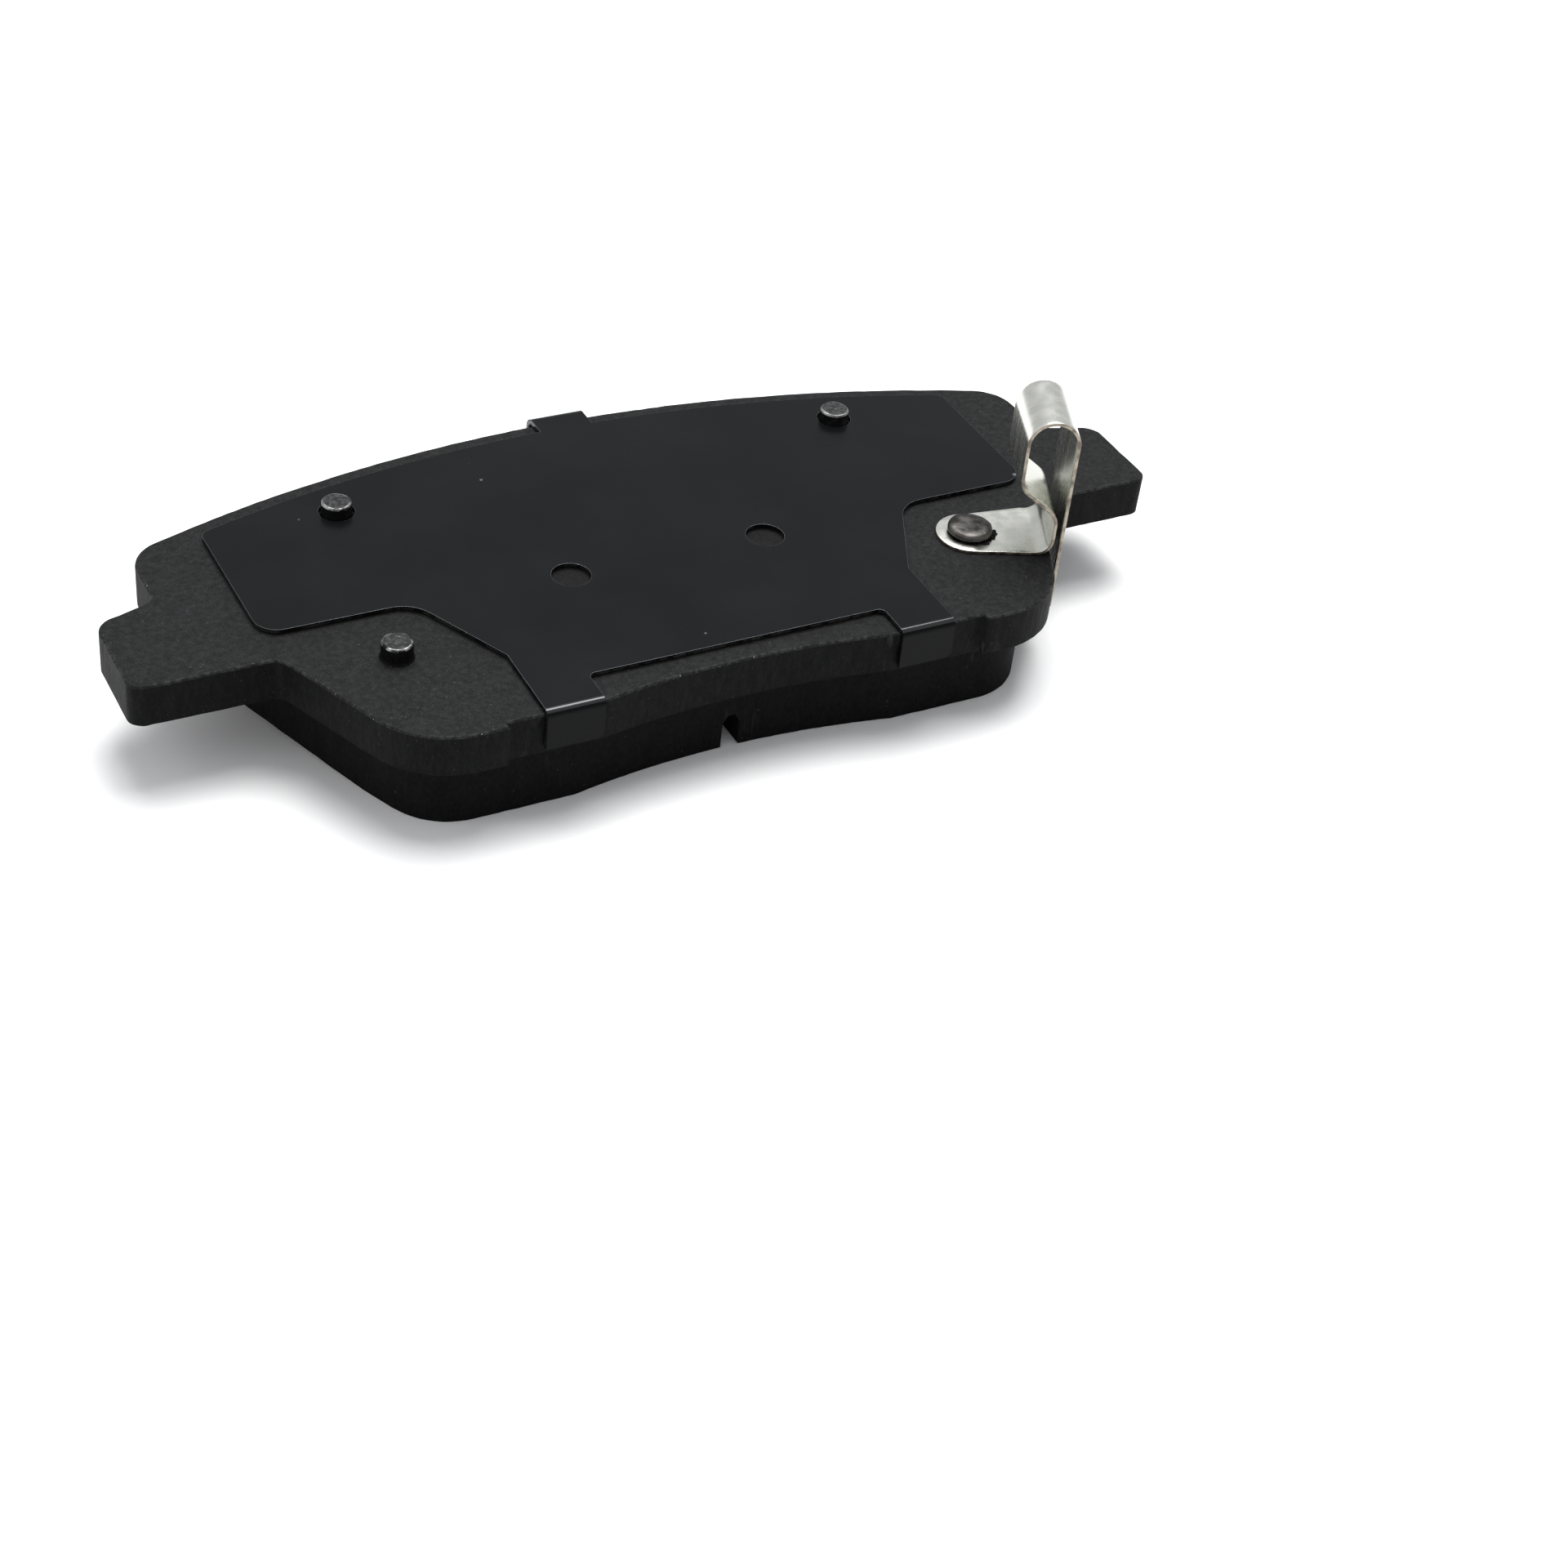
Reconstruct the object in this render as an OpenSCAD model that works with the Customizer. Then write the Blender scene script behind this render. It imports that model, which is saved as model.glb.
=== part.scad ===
// Disc brake pad with a bonded friction lining, a clipped-on shim and a spring wear indicator.
// +Z points away from the disc, +X runs along the ears, +Y towards the disc's rim.
// The friction face lies at z = 0. The origin is the bottom centre of the pad's box.

/* [Backing plate] */
// Length over the two ears
ear_span = 151; // [125:1:180]
// Width of the body between the roots of the ears
body_w = 134; // [112:1:138]
// Thickness of the steel plate
plate_t = 6; // [4.5:0.1:8]
// Height of the outer edge's crown above the datum line
crown_y = 35.7; // [30:0.1:43]
// Radius of the outer edge
outer_r = 182; // [150:1:240]
// Depth of the inner edge's middle below the datum line
inner_y = 25.6; // [24:0.1:28]
// Depth of the two lobes below the datum line
lobe_y = 28.5; // [27.8:0.1:31]
// Distance of each lobe's centre from the middle
lobe_x = 38.5; // [36.5:0.1:42]
// Radius of the lobes
lobe_r = 12; // [9:0.1:13]
// Half width of the waist under the ears
waist_x = 56.2; // [52:0.1:60]
// Radius of the body's outer corners
corner_r = 6; // [2:0.1:10]

/* [Ears] */
// Lower edge of the ears, measured from the datum line
ear_low_y = -5.6; // [-8:0.1:-4]
// Upper edge of the ears at the tip
ear_tip_y = 9.2; // [7:0.1:11]
// Upper edge of the ears at the root
ear_root_y = 11.9; // [9:0.1:14]
// Radius of the ears' upper corners
ear_upper_r = 3.2; // [0.5:0.1:4]
// Radius of the ears' lower corners
ear_lower_r = 2; // [0.5:0.1:3]
// Radius in the corner where an ear meets the body
root_r = 2; // [0.5:0.1:3]

/* [Pips and moulding holes] */
// Diameter of the pips pressed out of the plate
pip_d = 4.2; // [3:0.1:6]
// Height of the pips above the plate
pip_h = 2.5; // [1.5:0.1:4]
// Depth of the blind recess left behind each pip
recess_h = 2; // [1:0.1:3]
// Distance of the outer pair of pips from the middle
upper_pip_x = 38.3; // [30:0.1:45]
// Height of the outer pair of pips above the datum line
upper_pip_y = 22.6; // [18:0.1:24]
// Distance of the inner pair of pips from the middle
lower_pip_x = 42.3; // [40:0.1:44]
// Depth of the inner pair of pips below the datum line
lower_pip_y = 10.1; // [8:0.1:14]
// Diameter of the two holes that lock the lining in the plate
lock_hole_d = 10; // [6:0.1:14]
// Distance of those holes from the middle
lock_hole_x = 14.5; // [12:0.1:20]
// Depth of those holes below the datum line
lock_hole_y = 1.7; // [0:0.1:4]

/* [Friction lining] */
// Thickness of the friction material
lining_t = 8.5; // [3:0.1:12]
// Thickness of the underlayer
underlayer_t = 1.9; // [1:0.1:3]
// Thickness of the bond film on the plate
bond_t = 0.1; // [0.05:0.01:0.2]
// Gap between the lining and the sides of the plate's body
lining_side_gap = 6; // [2:0.1:8]
// Gap between the lining and the plate's outer edge
lining_top_gap = 3; // [1:0.1:6]
// Gap between the lining and the plate's lobes
lining_low_gap = 3.4; // [1:0.1:6]
// Gap between the lining and the plate's inner edge
lining_mid_gap = 2.8; // [1:0.1:6]
// Height where the lining starts to narrow
lining_waist_y = 12; // [4:0.1:14]
// Radius of the lining's outer corners
lining_corner_r = 8; // [3:0.1:12]
// Radius of the lining's waist corners
lining_waist_r = 12; // [3:0.1:16]
// Radius of the lining's lobes
lining_lobe_r = 9.8; // [6:0.1:11]
// Distance of the lining's lobe centres from the middle
lining_lobe_x = 37.5; // [35:0.1:40]
// Width of the dust slot
slot_w = 2.6; // [1.5:0.1:5]
// Depth of the dust slot
slot_h = 5.2; // [2:0.1:8]
// Drop of the chamfers ground across the lining's ends
chamfer_drop = 2; // [0.5:0.1:3]
// Width over which a chamfer drops that far
chamfer_w = 10; // [6:0.1:14]
// Distance from the lining's side to a chamfer's start on the upper edge
chamfer_in = 16; // [10:0.1:24]
// Distance from the lining's side to a chamfer's start on the lobe
chamfer_in_low = 12.5; // [8:0.1:16]

/* [Shim] */
// Thickness of the shim's adhesive
adhesive_t = 0.1; // [0.05:0.01:0.15]
// Thickness of each rubber coat
rubber_t = 0.15; // [0.08:0.01:0.25]
// Thickness of the shim's steel core
core_t = 0.4; // [0.3:0.05:0.8]
// Gap between the shim and the sides of the plate's body
shim_side_gap = 10; // [6:0.1:16]
// Gap between the shim and the plate's outer edge
shim_top_gap = 3; // [2:0.1:6]
// Lower edge of the shim's two wings
wing_y = -0.8; // [-3:0.1:2]
// Distance from the middle to the inner end of each wing's lower edge
wing_in_x = 36.6; // [34:0.1:38]
// Height where the shim's slanted edges end
slant_y = -15.4; // [-18:0.1:-12]
// Radius of the wings' lower corners
wing_r = 3.2; // [1:0.1:6]
// Radius of the shim's upper corners
shim_corner_r = 1.5; // [0.5:0.1:4]
// Radius where a wing meets the slanted edge
slant_r = 5; // [1:0.1:8]
// Gap between the shim and the plate's inner edge, at the middle
shim_mid_gap = 3; // [2:0.1:8]
// Inner side of the lower tabs, measured from the middle
tab_in_x = 21.5; // [18:0.1:24]
// Outer side of the lower tabs, measured from the middle
tab_out_x = 29.5; // [27:0.1:32]
// Width of the upper tab
upper_tab_w = 8; // [5:0.1:14]
// Radius where a lower tab leaves the shim
tab_root_r = 1; // [0.5:0.1:2]
// Length of the tabs down the plate's edge
tab_h = 5.2; // [3:0.1:5.5]
// Gap between a lower tab and the plate's edge
tab_gap = 0.2; // [0.15:0.01:0.25]
// Radius inside the lower tabs' bends
tab_bend_r = 0.4; // [0.4:0.05:0.8]
// Gap between the upper tab and the plate's edge
upper_tab_gap = 1.2; // [0.2:0.1:1.6]
// Radius inside the upper tab's bend
upper_bend_r = 1.2; // [0.4:0.1:1.6]
// Width of the plate's pocket left free on the inner side of a lower tab
pocket_room_in = 0.2; // [0.1:0.1:0.5]
// Width of the plate's pocket left free on the outer side of a lower tab
pocket_room_out = 5.1; // [0.2:0.1:6]
// Diameter of the shim's two round windows
window_d = 5.4; // [4:0.1:8]
// Clearance round the pips in the shim
pip_hole_gap = 0.4; // [0.2:0.05:0.8]

/* [Wear indicator] */
// Thickness of the spring strip
strip_t = 0.5; // [0.4:0.05:0.8]
// Width of the strip
strip_w = 11.4; // [8:0.1:12]
// Sideways offset of the strip from its rivet
strip_offset = 1.2; // [0:0.1:2]
// Radius of the strip's round foot
foot_r = 4.7; // [4:0.1:6]
// Distance that the arm keeps from the plate's edge
arm_gap = 0.8; // [0.6:0.05:2]
// Radius of the bend from the foot to the riser
foot_bend_r = 2.3; // [1.5:0.1:3]
// Distance from the arm's middle back to that bend's centre
foot_bend_back = 3.5; // [3:0.1:5]
// Straight height above that bend
riser_foot_h = 2.3; // [1:0.1:4]
// Radius of the two bends of the riser's S
s_bend_r = 3; // [2:0.1:3.5]
// Angle of the riser's slanted stretch
s_angle = 52; // [40:1:60]
// Radius of the arch
arch_r = 3.43; // [3:0.01:4]
// Height of the arch's centre above the plate
arch_h = 17.6; // [14:0.1:24]
// How far the arm's tip reaches past the plate towards the disc
tip_reach = 2.4; // [1.5:0.1:4]
// Gap between the fixed and the flexing half of the strip, at the top of the arch
flex_gap = 0.12; // [0.08:0.01:0.3]
// Clearance round the pip in the foot
rivet_gap = 0.05; // [0.02:0.01:0.2]
// Diameter of the staked head
head_d = 6.4; // [5.4:0.1:8]
// Height of the staked head
head_h = 1.5; // [0.8:0.1:2.5]

/* [Hidden] */
$fn = 96;
eps = 0.01;
far = 60;
// A round crosses its edges by this much, because a bare touch leaves a sliver
round_lap = 0.0005;

// Levels of the stack
underlayer_z = lining_t;
bond_z = underlayer_z + underlayer_t;
plate_z = bond_z + bond_t;
top_z = plate_z + plate_t;
inner_rubber_z = top_z + adhesive_t;
core_z = inner_rubber_z + rubber_t;
outer_rubber_z = core_z + core_t;
shim_top_z = outer_rubber_z + rubber_t;

// The lining and the shim keep their gaps to the plate
lining_x = body_w / 2 - lining_side_gap;
shim_x = body_w / 2 - shim_side_gap;
cutout_y = shim_mid_gap - inner_y;

// The outer and inner edges are arcs about the wheel's axis
arc_cy = crown_y - outer_r;
inner_r = -inner_y - arc_cy;
lobe_c = [lobe_x, lobe_r - lobe_y];
lining_lobe_c = [lining_lobe_x, lining_lobe_r - lobe_y + lining_low_gap];
lining_waist = [lining_x, lining_waist_y];
lining_corner = corner_below(lining_waist, lining_lobe_c, lining_lobe_r);
pocket_in = tab_in_x - pocket_room_in;
pocket_out = tab_out_x + pocket_room_out;
pocket_y = arc_y(inner_r, pocket_in);
// The inner arc's cut runs this far into the pockets beside it
side_lap = 0.5;

// The middle of the pad's box, which the origin lies under
shim_t = 2 * rubber_t + core_t;
box_mid_y = (crown_y + upper_tab_gap + shim_t - lobe_y) / 2;

upper_pip = [upper_pip_x, upper_pip_y];
lower_pip = [lower_pip_x, -lower_pip_y];
lock_hole = [lock_hole_x, -lock_hole_y];

// Where the flats of the tabs end and their bends begin
upper_bend_y = crown_y + upper_tab_gap - upper_bend_r;
lower_bend_y = pocket_y - tab_gap + tab_bend_r;

// The strip stands square to the slanted edge beside it: u points out over that edge, w along it
waist = [waist_x, ear_low_y];
lobe_corner = corner_below(waist, lobe_c, lobe_r);
edge_dir = unit(waist - lobe_corner);
u_dir = [edge_dir[1], -edge_dir[0]];
strip_angle = atan2(u_dir[1], u_dir[0]);
edge_u = (waist - lower_pip) * u_dir;
arm_u = edge_u + arm_gap + strip_t / 2;
arch_u = arm_u - arch_r;
riser_u = arm_u - 2 * arch_r;
s_rise = s_bend_r * sin(s_angle);
s_shift = s_bend_r * (1 - cos(s_angle));
foot_bend_u = arm_u - foot_bend_back;
foot_mid = strip_t / 2;
s_start_h = foot_mid + foot_bend_r + riser_foot_h;
slant_run = foot_bend_u + foot_bend_r - riser_u - 2 * s_shift;
slant_rise = slant_run / tan(s_angle);
s_end_h = s_start_h + 2 * s_rise + slant_rise;

function unit(v) = v / norm(v);
function arc_y(r, x) = arc_cy + sqrt(r * r - x * x);
// The sharp corner whose round of radius r has its centre at c: one edge comes from p, one is level
function corner_below(p, c, r) =
    let (a = atan2(c[1] - p[1], c[0] - p[0]) + asin(r / norm(c - p)), low = c[1] - r)
    [p[0] + (low - p[1]) / tan(a), low];

module at_datum() {
    translate([0, -box_mid_y]) children();
}

module both_sides() {
    children();
    mirror([1, 0]) children();
}

// The bit of material between a corner and the round that replaces it
module corner_bit(t1, tip, t2, c, r) {
    difference() {
        polygon([t1, tip, t2, c]);
        translate(c) circle(r + round_lap);
    }
}

module straight_corner(p, a, b, r) {
    da = unit(a - p);
    db = unit(b - p);
    half = acos(da * db) / 2;
    c = p + unit(da + db) * r / sin(half);
    corner_bit(p + da * r / tan(half), p + (p - c) * 0.4, p + db * r / tan(half), c, r);
}

// The corner between a vertical side at x and the arc of radius arc_r
module arc_corner(x, arc_r, r) {
    c = [x - r, arc_cy + sqrt(pow(arc_r - r, 2) - pow(x - r, 2))];
    t1 = [0, arc_cy] + (c - [0, arc_cy]) * arc_r / (arc_r - r);
    corner_bit(t1, [x + r, t1[1] + r], [x, c[1]], c, r);
}

module arc_disc(r) {
    translate([0, arc_cy]) circle(r, $fn = 360);
}

// Backing plate

module plate_half() {
    tip = ear_span / 2;
    polygon([
        [0, ear_root_y], [body_w / 2, ear_root_y], [tip, ear_tip_y], [tip, ear_low_y], waist,
        lobe_corner, [pocket_out, -lobe_y], [pocket_out, pocket_y],
        [pocket_in - side_lap, pocket_y], [pocket_in - side_lap, -lobe_y], [0, -lobe_y]
    ]);
}

module plate_outline() {
    tip = ear_span / 2;
    side = [body_w / 2, ear_root_y];
    difference() {
        union() {
            intersection() {
                arc_disc(outer_r);
                translate([-body_w / 2, ear_low_y]) square([body_w, far]);
            }
            both_sides() {
                plate_half();
                straight_corner(waist, [tip, ear_low_y], lobe_corner, root_r);
                straight_corner(side, [tip, ear_tip_y], [body_w / 2, crown_y], root_r);
            }
        }
        intersection() {
            arc_disc(inner_r);
            translate([-pocket_in - side_lap, -far]) square([2 * (pocket_in + side_lap), far]);
        }
        both_sides() {
            arc_corner(body_w / 2, outer_r, corner_r);
            straight_corner([tip, ear_tip_y], side, [tip, ear_low_y], ear_upper_r);
            straight_corner([tip, ear_low_y], [tip, ear_tip_y], waist, ear_lower_r);
            straight_corner(lobe_corner, waist, [0, -lobe_y], lobe_r);
        }
    }
}

module at_pips() {
    both_sides() {
        translate(upper_pip) children();
        translate(lower_pip) children();
    }
}

module at_lock_holes() {
    both_sides() translate(lock_hole) children();
}

module backing_plate() {
    color([0.1, 0.1, 0.11]) at_datum() {
        difference() {
            translate([0, 0, plate_z]) linear_extrude(plate_t) plate_outline();
            at_lock_holes() translate([0, 0, plate_z - 1]) cylinder(d = lock_hole_d, h = plate_t + 2);
            at_pips() translate([0, 0, plate_z - 1]) cylinder(d = pip_d, h = recess_h + 1);
        }
        both_sides() pip(upper_pip);
        mirror([1, 0]) pip(lower_pip);
        staked_rivet();
    }
}

module pip(p) {
    translate([p[0], p[1], top_z - eps]) cylinder(d = pip_d, h = pip_h + eps);
}

module staked_rivet() {
    translate([lower_pip[0], lower_pip[1], top_z - eps]) {
        cylinder(d = pip_d, h = strip_t + 2 * eps);
        translate([0, 0, strip_t + eps]) cylinder(d = head_d, h = head_h);
    }
}

// Friction lining, underlayer and bond

module lining_outline() {
    half = [[0, far], [lining_x, far], lining_waist, lining_corner, [0, lining_corner[1]]];
    difference() {
        intersection() {
            arc_disc(outer_r - lining_top_gap);
            both_sides() polygon(half);
        }
        arc_disc(inner_r + lining_mid_gap);
        both_sides() {
            arc_corner(lining_x, outer_r - lining_top_gap, lining_corner_r);
            straight_corner(lining_waist, [lining_x, far], lining_corner, lining_waist_r);
            straight_corner(lining_corner, lining_waist, [0, lining_corner[1]], lining_lobe_r);
        }
    }
}

// A wedge that grinds away the lining's end, tapering to nothing at the line from a to b
module end_wedge() {
    a = [lining_x - chamfer_in_low, lining_lobe_c[1]];
    end_x = lining_x - chamfer_in;
    b = [end_x, arc_y(outer_r - lining_top_gap, end_x)];
    along = unit(b - a);
    slope = atan(chamfer_drop / chamfer_w);
    reach = 2 * chamfer_w;
    translate([a[0], a[1], 0])
        rotate([0, 0, atan2(along[1], along[0])])
            rotate([-slope, 0, 0])
                translate([-reach, -reach, -reach]) cube([norm(b - a) + 2 * reach, reach, reach]);
}

module friction_lining() {
    tip_w = slot_w * 0.4;
    color([0.22, 0.2, 0.18]) at_datum() difference() {
        linear_extrude(lining_t) lining_outline();
        rotate([90, 0, 0]) linear_extrude(4 * far, center = true) polygon([
            [-slot_w / 2, -1], [slot_w / 2, -1], [slot_w / 2, slot_h - slot_w / 2],
            [tip_w / 2, slot_h], [-tip_w / 2, slot_h], [-slot_w / 2, slot_h - slot_w / 2]
        ]);
        both_sides() end_wedge();
    }
}

module underlayer() {
    color([0.16, 0.15, 0.14]) at_datum() {
        translate([0, 0, underlayer_z]) linear_extrude(underlayer_t) lining_outline();
        at_lock_holes() translate([0, 0, bond_z - eps])
            cylinder(d = lock_hole_d, h = bond_t + plate_t + eps);
        at_pips() translate([0, 0, bond_z - eps]) cylinder(d = pip_d, h = bond_t + recess_h + eps);
    }
}

module bond_film() {
    color([0.35, 0.2, 0.12]) at_datum() difference() {
        translate([0, 0, bond_z]) linear_extrude(bond_t) lining_outline();
        at_lock_holes() translate([0, 0, bond_z - 1]) cylinder(d = lock_hole_d, h = bond_t + 2);
        at_pips() translate([0, 0, bond_z - 1]) cylinder(d = pip_d, h = bond_t + 2);
    }
}

// Shim

module shim_outline() {
    wing = [shim_x, wing_y];
    notch = [wing_in_x, wing_y];
    slant_end = [tab_out_x, slant_y];
    difference() {
        union() {
            intersection() {
                arc_disc(outer_r - shim_top_gap);
                both_sides() polygon([
                    [0, far], [shim_x, far], wing, notch, slant_end, [tab_out_x, cutout_y], [0, cutout_y]
                ]);
            }
            both_sides() straight_corner(notch, wing, slant_end, slant_r);
        }
        both_sides() {
            arc_corner(shim_x, outer_r - shim_top_gap, shim_corner_r);
            straight_corner(wing, [shim_x, crown_y], notch, wing_r);
            translate(upper_pip) circle(d = pip_d + 2 * pip_hole_gap);
            translate(lock_hole) circle(d = window_d);
        }
    }
}

// The flats of the tabs, from inside the shim's edges to the start of their bends
module tab_flats() {
    lap = 1;
    start_y = crown_y - shim_top_gap - lap;
    translate([-upper_tab_w / 2, start_y]) square([upper_tab_w, upper_bend_y - start_y]);
    both_sides() {
        translate([tab_in_x, lower_bend_y])
            square([tab_out_x - tab_in_x, cutout_y + lap - lower_bend_y]);
        straight_corner([tab_in_x, cutout_y], [0, cutout_y], [tab_in_x, lower_bend_y], tab_root_r);
    }
}

// One layer of a tab's bend and leg, for an edge that faces +Y, of width w along X.
// The layer is t thick and its flat lies at height z; the bend's inner radius is bend_r.
module tab_fold(w, bend_r, z, t) {
    r_in = bend_r + z - inner_rubber_z;
    translate([0, 0, inner_rubber_z - bend_r]) rotate([90, 0, 90]) linear_extrude(w, center = true) {
        intersection() {
            difference() {
                circle(r_in + t);
                circle(r_in);
            }
            square(far);
        }
        translate([r_in, bend_r - tab_h]) square([t, tab_h - bend_r]);
    }
}

module shim_layer(z, t) {
    tab_w = tab_out_x - tab_in_x;
    translate([0, 0, z]) linear_extrude(t) {
        shim_outline();
        tab_flats();
    }
    translate([0, upper_bend_y, 0]) tab_fold(upper_tab_w, upper_bend_r, z, t);
    both_sides() translate([(tab_in_x + tab_out_x) / 2, lower_bend_y, 0])
        rotate([0, 0, 180]) tab_fold(tab_w, tab_bend_r, z, t);
}

module shim_adhesive() {
    color([0.55, 0.5, 0.4]) at_datum()
        translate([0, 0, top_z]) linear_extrude(adhesive_t) shim_outline();
}

module shim_inner_rubber() {
    color([0.08, 0.08, 0.08]) at_datum() shim_layer(inner_rubber_z, rubber_t);
}

module shim_core() {
    color([0.6, 0.6, 0.62]) at_datum() shim_layer(core_z, core_t);
}

module shim_outer_rubber() {
    color([0.05, 0.05, 0.055]) at_datum() shim_layer(outer_rubber_z, rubber_t);
}

// Wear indicator: one spring strip, in its own frame of u (x), w (y) and height (z)

module at_rivet() {
    at_datum() translate([lower_pip[0], lower_pip[1], top_z]) rotate([0, 0, strip_angle]) children();
}

// Extrudes a profile drawn in u and height over the strip's width
module over_width() {
    translate([0, strip_offset, 0]) rotate([90, 0, 0]) linear_extrude(strip_w, center = true) children();
}

// A bend of the strip: centre, mid radius, start angle and end angle
module bend(c, r, a0, a1) {
    big = r + strip_t;
    translate(c) intersection() {
        difference() {
            circle(r + strip_t / 2);
            circle(r - strip_t / 2);
        }
        polygon([[0, 0], big * 2 * [cos(a0), sin(a0)],
                 big * 2.2 * [cos((a0 + a1) / 2), sin((a0 + a1) / 2)], big * 2 * [cos(a1), sin(a1)]]);
    }
}

// A straight stretch of the strip between two points of its middle line
module stretch(a, b) {
    d = unit(b - a);
    n = [-d[1], d[0]] * strip_t / 2;
    polygon([a - n - d * eps, b - n + d * eps, b + n + d * eps, a + n - d * eps]);
}

module clip_profile() {
    riser_foot_u = foot_bend_u + foot_bend_r;
    s_low_c = [riser_foot_u - s_bend_r, s_start_h];
    s_high_c = [riser_u + s_bend_r, s_end_h];
    s_dir = [cos(s_angle), sin(s_angle)];
    bend([foot_bend_u, foot_mid + foot_bend_r], foot_bend_r, -90, 0);
    stretch([riser_foot_u, foot_mid + foot_bend_r], [riser_foot_u, s_start_h]);
    bend(s_low_c, s_bend_r, 0, s_angle);
    stretch(s_low_c + s_bend_r * s_dir, s_high_c - s_bend_r * s_dir);
    bend(s_high_c, s_bend_r, 180, 180 + s_angle);
    stretch([riser_u, s_end_h], [riser_u, arch_h]);
    difference() {
        bend([arch_u, arch_h], arch_r, 90, 180);
        translate([arch_u - flex_gap / 2, arch_h]) square(far);
    }
}

module reed_profile() {
    difference() {
        bend([arch_u, arch_h], arch_r, 0, 90);
        translate([arch_u + flex_gap / 2 - far, arch_h]) square(far);
    }
    stretch([arm_u, -plate_t - tip_reach], [arm_u, arch_h]);
}

module foot_outline() {
    low_w = strip_offset - strip_w / 2;
    high_w = strip_offset + strip_w / 2;
    flare_u = foot_bend_u - strip_t;
    end_u = foot_bend_u + eps;
    difference() {
        union() {
            circle(foot_r);
            polygon([[0, -foot_r], [flare_u, low_w], [end_u, low_w],
                     [end_u, high_w], [flare_u, high_w], [0, foot_r]]);
        }
        circle(d = pip_d + 2 * rivet_gap);
    }
}

module indicator_clip() {
    color([0.75, 0.76, 0.72]) at_rivet() {
        linear_extrude(strip_t) foot_outline();
        over_width() clip_profile();
    }
}

module indicator_reed() {
    color([0.78, 0.79, 0.75]) at_rivet() over_width() reed_profile();
}

friction_lining();
underlayer();
bond_film();
backing_plate();
shim_adhesive();
shim_inner_rubber();
shim_core();
shim_outer_rubber();
indicator_clip();
indicator_reed();
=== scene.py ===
# %% [markdown]
# # A disc brake pad, piece by piece
# This lesson dresses the imported model of a brake pad: a steel backing plate with two ears, a moulded
# friction lining under it, a thin rubber-coated shim clipped on top, and a bent spring strip that
# squeals on the disc when the lining is worn.
# The imported model is the frame. It fixes every size and place, and each piece made here but the
# wear strip rides on one of its bodies.

# %% Load the frame
import math
import random

import bmesh
import bpy
from mathutils import Matrix, Vector, noise


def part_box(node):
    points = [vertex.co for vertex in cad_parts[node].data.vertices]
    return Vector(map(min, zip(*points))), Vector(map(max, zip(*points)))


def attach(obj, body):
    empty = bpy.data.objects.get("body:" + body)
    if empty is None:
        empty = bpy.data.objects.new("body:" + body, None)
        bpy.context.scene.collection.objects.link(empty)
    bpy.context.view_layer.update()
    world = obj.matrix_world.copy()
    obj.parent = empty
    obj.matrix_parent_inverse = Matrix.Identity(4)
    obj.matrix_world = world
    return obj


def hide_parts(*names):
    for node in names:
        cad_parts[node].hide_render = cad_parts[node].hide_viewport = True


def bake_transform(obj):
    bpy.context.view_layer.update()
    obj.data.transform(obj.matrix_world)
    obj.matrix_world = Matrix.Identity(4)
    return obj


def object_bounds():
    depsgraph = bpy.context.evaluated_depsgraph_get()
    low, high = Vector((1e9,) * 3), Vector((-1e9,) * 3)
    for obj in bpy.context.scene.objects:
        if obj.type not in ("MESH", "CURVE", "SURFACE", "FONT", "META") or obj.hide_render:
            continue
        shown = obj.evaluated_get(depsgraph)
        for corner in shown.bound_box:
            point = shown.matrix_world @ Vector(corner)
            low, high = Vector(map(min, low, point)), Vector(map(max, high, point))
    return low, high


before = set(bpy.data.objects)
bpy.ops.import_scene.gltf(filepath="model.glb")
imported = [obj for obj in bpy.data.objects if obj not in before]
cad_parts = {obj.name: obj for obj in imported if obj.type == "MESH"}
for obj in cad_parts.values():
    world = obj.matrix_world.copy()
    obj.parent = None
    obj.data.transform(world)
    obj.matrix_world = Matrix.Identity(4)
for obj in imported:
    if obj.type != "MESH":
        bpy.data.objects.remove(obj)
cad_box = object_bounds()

mm = 0.001

# %% [markdown]
# ## Levels and places
# The pad is a stack, so most places in it are heights. They could be typed in again, but they are read
# from the frame's own boxes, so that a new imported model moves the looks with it. A box can't give the
# places of the pips, the rivet and the moulding holes, so those are typed in, in millimetres.

# %% Heights and the places of the pips
plate_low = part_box("bond_film")[1].z
plate_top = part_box("shim_adhesive")[0].z
shim_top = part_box("shim_outer_rubber")[1].z
pip_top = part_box("backing_plate")[1].z
pip_r, lock_hole_r = 2.1, 5
pips = {
    "pip_outer_left": (-38.3, 18.05),
    "pip_outer_right": (38.3, 18.05),
    "pip_inner_left": (-42.3, -14.65),
}
rivet_place = (42.3, -14.65)
rivet_at = Vector((*rivet_place, 0)) * mm + Vector((0, 0, plate_top))
lock_holes = [(-14.5, -6.25), (14.5, -6.25)]
print("plate from", round(plate_low / mm, 2), "to", round(plate_top / mm, 2), "mm")

# %% [markdown]
# ## Camera
# The camera looks down on the pad from the front left, close enough for some perspective. A Track To
# constraint could aim it, but it would leave out the slight roll, so the camera's turn is built from
# three directions: right, up and back. Its place is in the frame's own space.

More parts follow.
